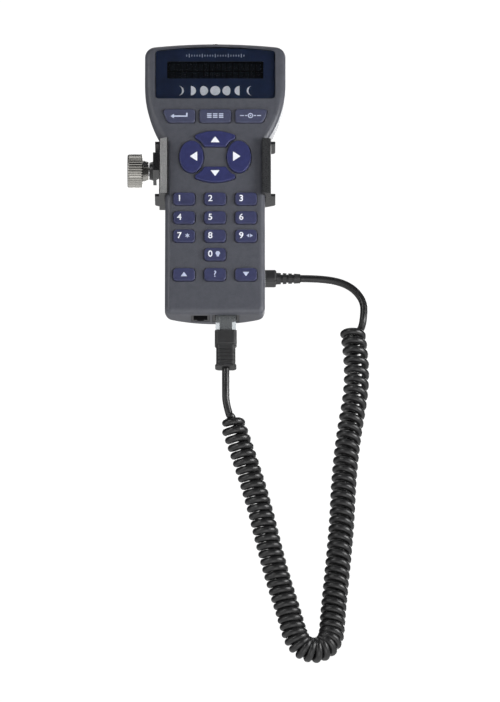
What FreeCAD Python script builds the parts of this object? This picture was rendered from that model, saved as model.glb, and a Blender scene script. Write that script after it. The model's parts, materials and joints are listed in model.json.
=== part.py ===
import FreeCAD, Part
import math
import os

# A telescope's hand controller, its clip-on holder and its coiled cord, in millimetres.
# Row frame: origin at the centre of the holder's clamp bore, +Z up along the bore and along the
# handset, the keys facing -Y.  Handset parts are built in the handset's own frame (x from its
# centreline, y = depth below the face, z up from the lower end) and moved into place when saved.

# ---- driving dimensions: handset ----
LENGTH = 166.6
HEAD_WIDTH = 81.0
TAIL_WIDTH = 57.2
DEPTH = 20.6
TOP_RISE = 2.5                       # crown of the upper end
FLARE_RADIUS = 63.0
FLARE_TOP = 141.7                    # height at which the flare runs into the head's straight side
TAIL_CORNER = 4.2
HEAD_CORNER = 6.3
WAIST_FILLET = 8.0
FACE_ROUND = 3.2
REAR_ROUND = 2.4
WALL = 2.2
PARTING = 9.4                        # depth of the front housing
SEAM_STEP = 0.25                     # the rear housing is this much smaller all round
TAIL_SIDE = 2.0                      # straight side of the rear housing before its crown starts
HEAD_SIDE = 1.5
HEAD_CROWN_START = 101.0             # the head's deeper crown rises from here
HEAD_SLOPE = 18.0

# ---- display ----
WINDOW_HALF = 34.5
WINDOW_LOW = 132.0
WINDOW_HIGH = 163.9
WINDOW_RISE = 2.4
WINDOW_THICK = 1.5
SEAT = 0.3                           # depth of the pane's front below the face
GLASS_VIEW = (55.4, 10.7)
GLASS_MIDDLE = 150.1
LCD_BOARD_FRONT = 7.8

# ---- keys ----
KEY_PROUD = 1.3
KEY_GAP = 0.35
FLANGE_TOP = WALL + 0.1
FLANGE_THICK = 0.8
FLANGE_WIDE = 0.7
PILL_THICK = 0.9
BOARD_FRONT = 5.0
BOARD_THICK = 1.6
MAT_THICK = 1.2
NUMBER_KEY = (12.4, 7.7)
NUMBER_PITCH = 17.7
ROW_HEIGHTS = (69.6, 58.1, 46.8, 35.5, 23.2)
PAD_MIDDLE = 95.6
PAD_HALF = (20.6, 15.9)
SIDE_KEY_HALF = (7.0, 9.9)
SIDE_KEY_OUT = 13.6
CENTRE_PAD = (9.7, 10.7)
PAD_WEB = 1.7                        # gap between neighbouring arrow keys
UP_KEY_WIDTH = 23.0
FUNCTION_LOW = 116.6
FUNCTION_HIGH = 124.9
FUNCTION_MIDDLE = 18.2
FUNCTION_GAP = 2.4
FUNCTION_OUT = (27.3, 30.6)          # outer end of the side keys at their lower and upper edge

# ---- sockets in the lower end ----
COIL_JACK = {"x": 6.2, "half": 7.5, "front": 3.8, "rear": 15.4, "top": 18.0,
             "mouth_half": 6.15, "mouth_front": 4.9, "mouth_rear": 12.2,
             "slot_half": 3.3, "slot_rear": 14.9, "deep": 16.0, "contacts": 8, "pitch": 1.02}
SERIAL_JACK = {"x": -8.3, "half": 5.2, "front": 4.4, "rear": 14.6, "top": 13.0,
               "mouth_half": 3.95, "mouth_front": 5.6, "mouth_rear": 12.6,
               "slot_half": 1.9, "slot_rear": 14.0, "deep": 11.5, "contacts": 4, "pitch": 1.02}

# ---- screws ----
CASE_SCREWS = ((-20.0, 9.0), (20.0, 9.0), (-34.2, 129.0), (34.2, 129.0))
BOARD_SCREWS = ((-17.7, 35.5), (17.7, 35.5), (-21.0, 82.5), (21.0, 82.5))
CASE_SCREW_R = 1.25
BOARD_SCREW_R = 1.0
SCREW_SLACK = 0.05

# ---- where the handset sits in the holder ----
HANDSET_X = 22.0
FACE_Y = -40.0
LOWER_END_Z = -102.8

# ---- holder ----
BAR_R = 9.5                          # handle bar that the clamp grips
CRADLE_LOW = -30.3
CRADLE_HIGH = 3.5
CRADLE_GAP = 0.35
CRADLE_WALL = 3.2
CRADLE_WINDOW = 26.8                 # half width of the front opening between the arms' lips
RIB_OUT = 2.4
RIB_THICK = 1.6
PAD_REAR_Y = -15.5                   # rear face of the cradle's mounting pad
CLAMP_HALF = 11.0                    # half the clamp's height
CLAMP_OUTER = 13.5
HOOK_ANGLE = 38.0                    # the hook reaches this far behind the bar
RAMP_ANGLE = 140.0
MOUTH_X = -12.0                      # inner face of the clamp's screw side
SCREW_SIDE_X = -14.0
BOSS_END_X = -16.2
INSERT_R = 3.9
SCREW_R = 3.0
SPIN_SLACK = 0.05
PAD_R = 4.2
PAD_THICK = 1.8
KNOB_X = -16.6
KNOB_LENGTH = 12.2
KNOB_R = 9.7
KNOB_FLUTES = 40
FLUTE_R = 0.55
ARM_OUT_X = -10.1                    # outer face of the cradle's left arm
NECK_HALF = 5.5                      # half height of the clamp's neck beside that arm
LIP_BEVEL = 20.0                     # slope of the front of the arms' lips, in degrees
LIP_FLAT = 0.8
HOLDER_SCREWS = ((22.0, -6.0), (22.0, -22.0))
HOLDER_SCREW_R = 1.6

# ---- cord ----
CABLE_R = 2.15
COIL_R = 7.4
PLUG = (11.7, 6.6, 21.5)             # 8-way modular plug: width, depth, length
PLUG_OUT = 8.4                       # length of plug that stands out of the handset
PLUG_DEEP = 5.45
BOOT_LENGTH = 22.0
FAR_BOOT_LENGTH = 20.2
FAR_PLUG_TIP_X = 29.3
FAR_PLUG_Y = 12.0
FAR_PLUG_Z = -62.0
LEAD_ROUTE = (
    (28.2, -31.25, -133.2),
    (28.2, -31.25, -144.5),
    (28.3, -28.75, -154.6),
    (31.6, -27.4, -164.0),
)
COIL_ROUTE = (
    (31.6, -27.4, -164.0),
    (38.76, -24.47, -184.4),
    (46.8, -20.4, -210.0),
    (53.0, -16.6, -236.0),
    (58.4, -13.5, -256.0),
    (64.2, -11.2, -274.0),
    (69.0, -9.4, -292.0),
    (79.1, -8.2, -296.0),
    (88.0, -7.0, -290.0),
    (89.0, -6.1, -273.0),
    (91.6, -3.9, -247.0),
    (94.3, -1.0, -217.0),
    (95.7, 1.8, -187.0),
    (98.6, 4.4, -160.0),
    (103.2, 6.9, -133.0),
    (103.3, 8.7, -112.0),
    (101.0, 10.0, -95.0),
)
FAR_ROUTE = (
    (106.25, 10.1, -93.65),
    (107.8, 10.7, -85.2),
    (107.4, 11.3, -75.2),
    (99.2, 11.8, -65.9),
    (85.0, 12.0, -62.0),
    (71.0, 12.0, -62.0),
)

V = FreeCAD.Vector
X_AXIS = V(1, 0, 0)
Y_AXIS = V(0, 1, 0)
Z_AXIS = V(0, 0, 1)


# ---- small helpers ----
def box(x0, x1, y0, y1, z0, z1):
    """Box between two corners."""
    return Part.makeBox(x1 - x0, y1 - y0, z1 - z0, V(x0, y0, z0))


def rod(radius, start, end):
    """Cylinder from one point to another."""
    axis = V(*end) - V(*start)
    return Part.makeCylinder(radius, axis.Length, V(*start), axis)


def cone(start_radius, end_radius, start, end):
    """Cone from one point to another."""
    axis = V(*end) - V(*start)
    return Part.makeCone(start_radius, end_radius, axis.Length, V(*start), axis)


def join(shapes):
    """One shape from overlapping or touching ones."""
    first = shapes[0]
    return first.fuse(shapes[1:]).removeSplitter()


def group(shapes):
    """Separate solids kept in one node."""
    return Part.makeCompound(shapes)


def line(start, end):
    """Straight edge between two points."""
    return Part.LineSegment(start, end).toShape()


def arc(start, middle, end):
    """Arc through three points."""
    return Part.Arc(start, middle, end).toShape()


def extruded(wire, y0, y1):
    """Prism along Y of a flat wire that lies at y = 0."""
    face = Part.Face(wire)
    face.translate(V(0, y0, 0))
    return face.extrude(V(0, y1 - y0, 0))


def edges_along_y(shape, corners):
    """Edges along Y that stand at the given (x, z) corners."""
    chosen = []
    for edge in shape.Edges:
        middle = edge.CenterOfMass
        for x, z in corners:
            if abs(middle.x - x) < 0.05 and abs(middle.z - z) < 0.05:
                chosen.append(edge)
    return chosen


def edges_at_depth(shape, depth):
    """Edges that lie wholly in the plane y = depth."""
    return [edge for edge in shape.Edges
            if abs(edge.BoundBox.YMin - depth) < 1e-4 and abs(edge.BoundBox.YMax - depth) < 1e-4]


def front_wire(shape):
    """Outer wire of the face that looks along -Y, moved to y = 0."""
    face = min(shape.Faces, key=lambda item: item.CenterOfMass.y)
    wire = face.OuterWire
    wire.translate(V(0, -face.CenterOfMass.y, 0))
    return wire


def rounded_rectangle(width, height, centre_x, centre_z, radius):
    """Flat wire at y = 0: a rectangle with rounded corners."""
    left = centre_x - width / 2
    right = centre_x + width / 2
    low = centre_z - height / 2
    high = centre_z + height / 2
    block = box(left, right, 0, 1, low, high)
    corners = ((left, low), (right, low), (left, high), (right, high))
    return front_wire(block.makeFillet(radius, edges_along_y(block, corners)))


def ellipse_block(centre_x, centre_z, half_width, half_height, y0, y1):
    """Elliptical prism along Y."""
    if half_width >= half_height:
        curve = Part.Ellipse(V(0, 0, 0), half_width, half_height)
        shape = curve.toShape()
        shape.rotate(V(0, 0, 0), X_AXIS, 90)
    else:
        curve = Part.Ellipse(V(0, 0, 0), half_height, half_width)
        shape = curve.toShape()
        shape.rotate(V(0, 0, 0), X_AXIS, 90)
        shape.rotate(V(0, 0, 0), Y_AXIS, 90)
    shape.translate(V(centre_x, 0, centre_z))
    return extruded(Part.Wire([shape]), y0, y1)


# ---- handset outline ----
def outline():
    """Rounded outline of the handset, a flat wire at y = 0."""
    tail = TAIL_WIDTH / 2
    head = HEAD_WIDTH / 2
    centre_x = head - FLARE_RADIUS
    start = -math.acos((tail - centre_x) / FLARE_RADIUS)
    waist_z = FLARE_TOP + FLARE_RADIUS * math.sin(start)
    middle = V(centre_x + FLARE_RADIUS * math.cos(start / 2), 0,
               FLARE_TOP + FLARE_RADIUS * math.sin(start / 2))
    shoulder_z = LENGTH - TOP_RISE
    edges = [line(V(-tail, 0, 0), V(tail, 0, 0)),
             line(V(tail, 0, 0), V(tail, 0, waist_z)),
             arc(V(tail, 0, waist_z), middle, V(head, 0, FLARE_TOP)),
             line(V(head, 0, FLARE_TOP), V(head, 0, shoulder_z)),
             arc(V(head, 0, shoulder_z), V(0, 0, LENGTH), V(-head, 0, shoulder_z)),
             line(V(-head, 0, shoulder_z), V(-head, 0, FLARE_TOP)),
             arc(V(-head, 0, FLARE_TOP), V(-middle.x, 0, middle.z), V(-tail, 0, waist_z)),
             line(V(-tail, 0, waist_z), V(-tail, 0, 0))]
    block = extruded(Part.Wire(edges), 0, 1)
    for radius, x, z in ((TAIL_CORNER, tail, 0), (WAIST_FILLET, tail, waist_z),
                         (HEAD_CORNER, head, shoulder_z)):
        block = block.makeFillet(radius, edges_along_y(block, ((x, z), (-x, z))))
    return front_wire(block)


OUTLINE = outline()


def outline_block(inset, y0, y1):
    """Prism of the handset's outline, made smaller by inset (larger when negative)."""
    wire = OUTLINE.makeOffset2D(-inset) if inset else OUTLINE
    return extruded(wire, y0, y1)


def crown_block(half_width, side, inset, z0, z1):
    """Space in front of the rear crown: an arc over the width, run along the handset."""
    rise = DEPTH - PARTING - side
    radius = (half_width ** 2 + rise ** 2) / (2 * rise)
    centre_y = DEPTH - radius
    reach = half_width - SEAM_STEP - inset
    edge_y = centre_y + math.sqrt((radius - inset) ** 2 - reach ** 2)
    edges = [arc(V(reach, edge_y, z0), V(0, DEPTH - inset, z0), V(-reach, edge_y, z0)),
             line(V(-reach, edge_y, z0), V(-reach, 0, z0)),
             line(V(-reach, 0, z0), V(reach, 0, z0)),
             line(V(reach, 0, z0), V(reach, edge_y, z0))]
    block = Part.Face(Part.Wire(edges)).extrude(V(0, 0, z1 - z0))
    rims = [edge for edge in block.Edges
            if abs(edge.BoundBox.ZLength - (z1 - z0)) < 0.01 and edge.BoundBox.YMin > 1]
    return block.makeFillet(REAR_ROUND - inset / 2, rims)


def crowned_space(inset):
    """Space in front of the rear housing's outer skin, or of its inner skin when inset."""
    tail = crown_block(TAIL_WIDTH / 2, TAIL_SIDE, inset, -5, LENGTH + 5)
    head = crown_block(HEAD_WIDTH / 2, HEAD_SIDE, inset, HEAD_CROWN_START + inset, LENGTH + 5)
    low = HEAD_CROWN_START - 1
    corners = (V(0, PARTING - 1, low), V(0, DEPTH + 3, low), V(0, DEPTH + 3, low + HEAD_SLOPE))
    slope = Part.Wire([line(corners[index], corners[(index + 1) % 3]) for index in range(3)])
    wedge = Part.Face(slope).extrude(V(HEAD_WIDTH + 20, 0, 0))
    wedge.translate(V(-HEAD_WIDTH / 2 - 10, 0, inset))
    return tail.fuse(head.cut(wedge))


# ---- keys ----
def number_key_places():
    """Name and centre of each of the thirteen small keys."""
    names = (("key_1", "key_2", "key_3"), ("key_4", "key_5", "key_6"), ("key_7", "key_8", "key_9"),
             (None, "key_0", None), ("key_scroll_up", "key_help", "key_scroll_down"))
    places = {}
    for row_names, z in zip(names, ROW_HEIGHTS):
        for column, name in enumerate(row_names):
            if name:
                places[name] = ((column - 1) * NUMBER_PITCH, z)
    return places


def number_key_block(place, grow, y0, y1):
    """Prism of one small key, larger all round by grow."""
    width, height = NUMBER_KEY
    return extruded(rounded_rectangle(width + 2 * grow, height + 2 * grow, place[0], place[1],
                                      2.2 + grow / 2), y0, y1)


def function_key_block(name, grow, y0, y1):
    """Prism of one key of the row below the display, larger all round by grow."""
    low = FUNCTION_LOW - grow
    high = FUNCTION_HIGH + grow
    if name == "key_mode":
        return extruded(rounded_rectangle(FUNCTION_MIDDLE + 2 * grow, high - low, 0, (low + high) / 2,
                                          1.8 + grow / 2), y0, y1)
    sign = -1 if name == "key_enter" else 1
    inner = FUNCTION_MIDDLE / 2 + FUNCTION_GAP - grow
    points = [V(sign * inner, 0, low), V(sign * (FUNCTION_OUT[0] + grow), 0, low),
              V(sign * (FUNCTION_OUT[1] + grow), 0, high), V(sign * inner, 0, high)]
    edges = [line(points[index], points[(index + 1) % 4]) for index in range(4)]
    block = extruded(Part.Wire(edges), 0, 1)
    for radius, index in ((1.8, 0), (3.0, 1), (1.8, 2), (1.8, 3)):
        corner = (points[index].x, points[index].z)
        block = block.makeFillet(radius, edges_along_y(block, (corner,)))
    return extruded(front_wire(block), y0, y1)


def crescent_wire():
    """Outline of the upper arrow key: arched outside, hollow beside the side keys, straight foot."""
    wide = SIDE_KEY_HALF[0] + PAD_WEB
    tall = SIDE_KEY_HALF[1] + PAD_WEB
    half = UP_KEY_WIDTH / 2
    foot = CENTRE_PAD[1] / 2 + PAD_WEB / 2
    notch = tall * math.sqrt(1 - ((SIDE_KEY_OUT - half) / wide) ** 2)
    hollow = (foot + notch) / 2 + 0.3
    shoulder = PAD_HALF[1] * math.sqrt(1 - (half / PAD_HALF[0]) ** 2)
    foot_x = SIDE_KEY_OUT - wide * math.sqrt(1 - (foot / tall) ** 2)
    hollow_x = SIDE_KEY_OUT - wide * math.sqrt(1 - (hollow / tall) ** 2)
    edges = [arc(V(-half, 0, shoulder), V(0, 0, PAD_HALF[1]), V(half, 0, shoulder)),
             line(V(half, 0, shoulder), V(half, 0, notch)),
             arc(V(half, 0, notch), V(hollow_x, 0, hollow), V(foot_x, 0, foot)),
             line(V(foot_x, 0, foot), V(-foot_x, 0, foot)),
             arc(V(-foot_x, 0, foot), V(-hollow_x, 0, hollow), V(-half, 0, notch)),
             line(V(-half, 0, notch), V(-half, 0, shoulder))]
    block = extruded(Part.Wire(edges), 0, 1)
    corners = [(x, z) for z in (shoulder, notch) for x in (-half, half)]
    corners += [(-foot_x, foot), (foot_x, foot)]
    wire = front_wire(block.makeFillet(0.8, edges_along_y(block, corners)))
    wire.translate(V(0, 0, PAD_MIDDLE))
    return wire


def arrow_key_block(name, grow, y0, y1):
    """Prism of one of the four arrow keys, larger all round by grow."""
    wide, tall = SIDE_KEY_HALF
    if name in ("key_left", "key_right"):
        side = -1 if name == "key_left" else 1
        return ellipse_block(side * SIDE_KEY_OUT, PAD_MIDDLE, wide + grow, tall + grow, y0, y1)
    wire = crescent_wire()
    block = extruded(wire.makeOffset2D(grow) if grow else wire, y0, y1)
    if name == "key_down":
        block = block.mirror(V(0, 0, PAD_MIDDLE), Z_AXIS)
    return block


FUNCTION_KEYS = ("key_enter", "key_mode", "key_goto")
ARROW_KEYS = ("key_up", "key_down", "key_left", "key_right")
NUMBER_KEYS = number_key_places()


def key_block(name, grow, y0, y1):
    """Prism of any key, larger all round by grow."""
    if name in NUMBER_KEYS:
        return number_key_block(NUMBER_KEYS[name], grow, y0, y1)
    if name in FUNCTION_KEYS:
        return function_key_block(name, grow, y0, y1)
    return arrow_key_block(name, grow, y0, y1)


def key_middle(name):
    """Centre (x, z) of a key's conductive pill."""
    if name in NUMBER_KEYS:
        return NUMBER_KEYS[name]
    if name in FUNCTION_KEYS:
        return (FUNCTION_KEYS.index(name) - 1) * 20.3, (FUNCTION_LOW + FUNCTION_HIGH) / 2
    offset = {"key_up": (0, 10.2), "key_down": (0, -10.2),
              "key_left": (-SIDE_KEY_OUT, 0), "key_right": (SIDE_KEY_OUT, 0)}[name]
    return offset[0], PAD_MIDDLE + offset[1]


def key(name):
    """A cap with a rounded top, the flange that keeps it in its opening, and its pill."""
    cap = key_block(name, 0, -KEY_PROUD, FLANGE_TOP + 0.2)
    top = edges_at_depth(cap, -KEY_PROUD)
    cap = cap.makeFillet(0.6, top)
    wide = 0.45 if name in ARROW_KEYS else FLANGE_WIDE
    flange = key_block(name, wide, FLANGE_TOP, FLANGE_TOP + FLANGE_THICK)
    x, z = key_middle(name)
    start = FLANGE_TOP + FLANGE_THICK
    pill = rod(2.2, (x, start, z), (x, start + PILL_THICK, z))
    return group([cap.fuse(flange).removeSplitter(), pill])


def keypad_mat():
    """Rubber sheet on the board, open round every key's flange."""
    high = BOARD_FRONT
    low = BOARD_FRONT - MAT_THICK
    sheet = box(-25.2, 25.2, low, high, 18.9, 113).fuse(box(-33.4, 33.4, low, high, 113, 127.2))
    sheet = sheet.common(outline_block(WALL + 0.4, low - 1, high + 1))
    slack = FLANGE_WIDE + 0.35
    tools = [number_key_block(place, slack, 0, 6) for place in NUMBER_KEYS.values()]
    tools += [function_key_block(name, FLANGE_WIDE + 0.2, 0, 6) for name in FUNCTION_KEYS]
    tools.append(ellipse_block(0, PAD_MIDDLE, PAD_HALF[0] + slack, PAD_HALF[1] + slack, 0, 6))
    tools += [rod(3.3, (x, 0, z), (x, 6, z)) for x, z in CASE_SCREWS]
    tools += [rod(2.8, (x, 0, z), (x, 6, z)) for x, z in BOARD_SCREWS]
    return sheet.removeSplitter().cut(tools)


# ---- handset housings ----
def window_outline(grow):
    """Flat wire of the display window, larger all round by grow."""
    half = WINDOW_HALF
    low = WINDOW_LOW
    high = WINDOW_HIGH
    shoulder = high - WINDOW_RISE
    edges = [line(V(-half, 0, low), V(half, 0, low)), line(V(half, 0, low), V(half, 0, shoulder)),
             arc(V(half, 0, shoulder), V(0, 0, high), V(-half, 0, shoulder)),
             line(V(-half, 0, shoulder), V(-half, 0, low))]
    block = extruded(Part.Wire(edges), 0, 1)
    corners = ((-half, low), (half, low), (-half, shoulder), (half, shoulder))
    wire = front_wire(block.makeFillet(2.2, edges_along_y(block, corners)))
    return wire.makeOffset2D(grow) if grow else wire


def jack_opening(jack):
    """Cut-out in the lower end for one socket."""
    slack = 0.15
    return box(jack["x"] - jack["half"] - slack, jack["x"] + jack["half"] + slack,
               jack["front"] - slack, jack["rear"] + slack, -1, WALL + 1)


def front_housing():
    """Face and sides of the handset, with every opening and the screw bosses."""
    shell = outline_block(0, 0, PARTING)
    shell = shell.makeFillet(FACE_ROUND, edges_at_depth(shell, 0))
    shell = shell.cut(outline_block(WALL, WALL, PARTING + 1))
    solids = [shell]
    for x, z in CASE_SCREWS:
        solids.append(rod(3.0, (x, WALL - 0.5, z), (x, PARTING, z)))
    for x, z in BOARD_SCREWS:
        solids.append(rod(2.4, (x, WALL - 0.5, z), (x, BOARD_FRONT, z)))
    shell = solids[0].fuse(solids[1:]).common(outline_block(0, -1, PARTING))
    tools = [key_block(name, KEY_GAP, -1, WALL + 0.1) for name in NUMBER_KEYS]
    tools += [key_block(name, KEY_GAP, -1, WALL + 0.1) for name in FUNCTION_KEYS + ARROW_KEYS]
    tools.append(extruded(window_outline(0.12), -1, SEAT + WINDOW_THICK))
    tools.append(extruded(window_outline(-2.0), -1, WALL + 1))
    tools += [jack_opening(COIL_JACK), jack_opening(SERIAL_JACK)]
    for x, z in CASE_SCREWS:
        tools.append(rod(CASE_SCREW_R + SCREW_SLACK, (x, 3.4, z), (x, PARTING + 1, z)))
    for x, z in BOARD_SCREWS:
        tools.append(rod(BOARD_SCREW_R + SCREW_SLACK, (x, 1.6, z), (x, BOARD_FRONT + 1, z)))
    tools.append(rod(2.5, (0, 5.2, LENGTH - WALL - 1), (0, 5.2, LENGTH + 1)))
    return shell.cut(tools).removeSplitter()


def rear_skin():
    """Outer form of the rear housing, its two ends rounded."""
    skin = outline_block(SEAM_STEP, PARTING, DEPTH + 5).common(crowned_space(0)).removeSplitter()
    for radius, low, high in ((1.8, -1, TAIL_CORNER + 0.1), (REAR_ROUND, LENGTH - 9, LENGTH + 1)):
        rim = [edge for edge in skin.Edges if edge.BoundBox.YMin > PARTING + 0.3
               and edge.BoundBox.ZMin > low and edge.BoundBox.ZMax < high]
        skin = skin.makeFillet(radius, rim)
    return skin


def rear_housing():
    """Crowned back of the handset, with screw bosses and sound slots."""
    skin = rear_skin()
    shell = skin.cut(outline_block(WALL, PARTING - 1, DEPTH + 5).common(crowned_space(WALL)))
    for x, z in CASE_SCREWS:
        shell = shell.fuse(rod(3.4, (x, PARTING, z), (x, DEPTH + 1, z)).common(skin))
    tools = [jack_opening(COIL_JACK), jack_opening(SERIAL_JACK)]
    for x, z in CASE_SCREWS:
        tools.append(rod(CASE_SCREW_R + 0.25, (x, PARTING - 1, z), (x, DEPTH + 2, z)))
        tools.append(rod(2.7, (x, PARTING + 2.2, z), (x, DEPTH + 2, z)))
    for row in range(5):
        z = 52.0 + 3.0 * row
        tools.append(box(-6.5, 6.5, 14, DEPTH + 2, z - 0.6, z + 0.6))
    for tool in tools:
        shell = shell.cut(tool)
    return shell


# ---- display, boards and other internals ----
def display_window():
    """Flat pane that fills the head of the face."""
    return extruded(window_outline(0), SEAT, SEAT + WINDOW_THICK)


def lcd_bezel():
    """Folded metal frame that clamps the display glass to its board."""
    frame = box(-32.2, 32.2, 3.3, LCD_BOARD_FRONT, 138.0, 162.0)
    frame = frame.cut(box(-31.8, 31.8, 3.65, LCD_BOARD_FRONT + 1, 138.4, 161.6))
    wide, tall = GLASS_VIEW
    return frame.cut(box(-wide / 2 - 0.6, wide / 2 + 0.6, 3, 4, GLASS_MIDDLE - tall / 2 - 0.6,
                         GLASS_MIDDLE + tall / 2 + 0.6))


def lcd_header():
    """Plastic strip between the two boards with a row of soldered pin ends."""
    strip = [box(-20.6, 20.6, BOARD_FRONT + BOARD_THICK, LCD_BOARD_FRONT, 132.8, 135.2)]
    for index in range(16):
        x = (index - 7.5) * 2.54
        strip.append(rod(0.35, (x, BOARD_FRONT - 0.9, 134), (x, BOARD_FRONT, 134)))
    return group(strip)


def main_board():
    """Circuit board behind the keys, wider in the head."""
    back = BOARD_FRONT + BOARD_THICK
    board = box(-25.6, 25.6, BOARD_FRONT, back, 18.6, 136).fuse(
        box(-31.0, 31.0, BOARD_FRONT, back, 114, 136)).removeSplitter()
    for x, z in BOARD_SCREWS:
        board = board.cut(rod(BOARD_SCREW_R + 0.2, (x, 0, z), (x, 9, z)))
    return board


def circuit_chips():
    """Packages on the rear of the main board."""
    back = BOARD_FRONT + BOARD_THICK
    chips = [box(-7, 7, back, back + 1.4, 93, 107), box(-21, -11, back, back + 1.8, 96, 104),
             box(11, 21, back, back + 1.8, 94, 106), box(-22, -16, back, back + 3.0, 62, 66),
             box(14, 22, back, back + 1.6, 60, 66), box(-5, 5, back, back + 2.2, 22, 27)]
    chips += [rod(2.5, (x, back, 74), (x, back + 5.5, 74)) for x in (-12, 0, 12)]
    return group(chips)


def jack(size):
    """Modular socket: a block with a stepped mouth and a latch slot."""
    block = box(size["x"] - size["half"], size["x"] + size["half"], size["front"], size["rear"],
                0.4, size["top"])
    mouth = box(size["x"] - size["mouth_half"], size["x"] + size["mouth_half"], size["mouth_front"],
                size["mouth_rear"], -1, size["deep"])
    slot = box(size["x"] - size["slot_half"], size["x"] + size["slot_half"], size["mouth_rear"] - 1,
               size["slot_rear"], -1, size["deep"])
    return block.cut(mouth).cut(slot)


def jack_contacts(size):
    """Spring wires along the front wall of a socket's mouth."""
    y = size["mouth_front"]
    first = size["x"] - size["pitch"] * (size["contacts"] - 1) / 2
    wires = []
    for index in range(size["contacts"]):
        x = first + index * size["pitch"]
        wires.append(box(x - 0.22, x + 0.22, y, y + 0.32, 4.0, size["deep"]))
    return group(wires)


def speaker():
    """Round speaker cone housing that faces the rear slots."""
    can = rod(9.5, (0, 13.6, 58), (0, 17.0, 58))
    return can.cut(rod(8.0, (0, 14.8, 58), (0, 18, 58)))


def utility_light():
    """Red lamp body under the lens in the upper end."""
    return rod(1.5, (0, 5.2, LENGTH - 4.1), (0, 5.2, LENGTH - 2.0))


def utility_lens():
    """Clear domed lens of the utility light."""
    lens = rod(2.4, (0, 5.2, LENGTH - 2.0), (0, 5.2, LENGTH + 0.6))
    return lens.makeFillet(0.8, [edge for edge in lens.Edges if edge.BoundBox.ZMin > LENGTH])


def case_screws():
    """Four screws that draw the housings together from the rear."""
    screws = []
    for x, z in CASE_SCREWS:
        seat = PARTING + 2.2
        head = rod(2.4, (x, seat, z), (x, seat + 1.6, z))
        screw = rod(CASE_SCREW_R, (x, 4.0, z), (x, seat, z)).fuse(head)
        screw = screw.cut(box(x - 1.7, x + 1.7, seat + 0.9, seat + 2, z - 0.3, z + 0.3))
        screws.append(screw.cut(box(x - 0.3, x + 0.3, seat + 0.9, seat + 2, z - 1.7, z + 1.7)))
    return group(screws)


def board_screws():
    """Four small screws that hold the main board to the front housing."""
    back = BOARD_FRONT + BOARD_THICK
    return group([rod(BOARD_SCREW_R, (x, 2.4, z), (x, back, z)).fuse(
        rod(1.9, (x, back, z), (x, back + 1.3, z))) for x, z in BOARD_SCREWS])


# ---- holder ----
def tail_block(grow, z0, z1):
    """Prism along Z of the handset's narrow part, larger all round by grow (handset frame)."""
    half = TAIL_WIDTH / 2 + grow
    rise = DEPTH - PARTING - TAIL_SIDE
    radius = (half ** 2 + rise ** 2) / (2 * rise)
    edge_y = DEPTH + grow - radius + math.sqrt(radius ** 2 - half ** 2)
    edges = [arc(V(half, edge_y, z0), V(0, DEPTH + grow, z0), V(-half, edge_y, z0)),
             line(V(-half, edge_y, z0), V(-half, -grow, z0)),
             line(V(-half, -grow, z0), V(half, -grow, z0)),
             line(V(half, -grow, z0), V(half, edge_y, z0))]
    block = Part.Face(Part.Wire(edges)).extrude(V(0, 0, z1 - z0))
    tall = [edge for edge in block.Edges if abs(edge.BoundBox.ZLength - (z1 - z0)) < 0.01]
    block = block.makeFillet(FACE_ROUND, [edge for edge in tall if edge.BoundBox.YMax < 0.1])
    tall = [edge for edge in block.Edges if abs(edge.BoundBox.ZLength - (z1 - z0)) < 0.01]
    return block.makeFillet(REAR_ROUND, [edge for edge in tall if edge.BoundBox.YMin > edge_y - 0.1])


def in_row(shape):
    """Move a shape from the handset's frame to the row frame."""
    placed = shape.copy()
    placed.translate(V(HANDSET_X, FACE_Y, LOWER_END_Z))
    return placed


def lip_bevel(side, low, high):
    """Space in front of the sloped lip of one arm (handset frame)."""
    tool = box(0, 12, -6, 0, low - 1, high + 1)
    tool.rotate(V(0, 0, 0), Z_AXIS, LIP_BEVEL)
    tool.translate(V(CRADLE_WINDOW + LIP_FLAT, -CRADLE_GAP - CRADLE_WALL, 0))
    return tool if side > 0 else tool.mirror(V(0, 0, 0), X_AXIS)


def cradle():
    """Trough of even thickness round the waist, open in front, ribbed at both ends."""
    low = CRADLE_LOW - LOWER_END_Z
    high = CRADLE_HIGH - LOWER_END_Z
    pad_rear = PAD_REAR_Y - FACE_Y
    shell = tail_block(CRADLE_GAP + CRADLE_WALL, low, high)
    for start in (low, high - RIB_THICK):
        rib = tail_block(CRADLE_GAP + CRADLE_WALL + RIB_OUT, start, start + RIB_THICK)
        shell = shell.fuse(rib.common(box(-60, 60, 3.0, pad_rear, start, start + RIB_THICK)))
    shell = shell.fuse(box(ARM_OUT_X - HANDSET_X, 14.0, 10.0, pad_rear, low, high))
    shell = shell.cut(tail_block(CRADLE_GAP, low - 1, high + 1))
    shell = shell.cut(outline_block(-CRADLE_GAP, -1, DEPTH + CRADLE_GAP).common(
        box(-60, 60, -2, 60, high - 12, high + 1)))
    shell = shell.cut(box(-CRADLE_WINDOW, CRADLE_WINDOW, -10, 6, low - 1, high + 1))
    for side in (-1, 1):
        shell = shell.cut(lip_bevel(side, low, high))
    shell = in_row(shell.removeSplitter())
    for x, z in HOLDER_SCREWS:
        shell = shell.cut(rod(HOLDER_SCREW_R + SCREW_SLACK, (x, -30, z), (x, -10, z)))
    return shell


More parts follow.
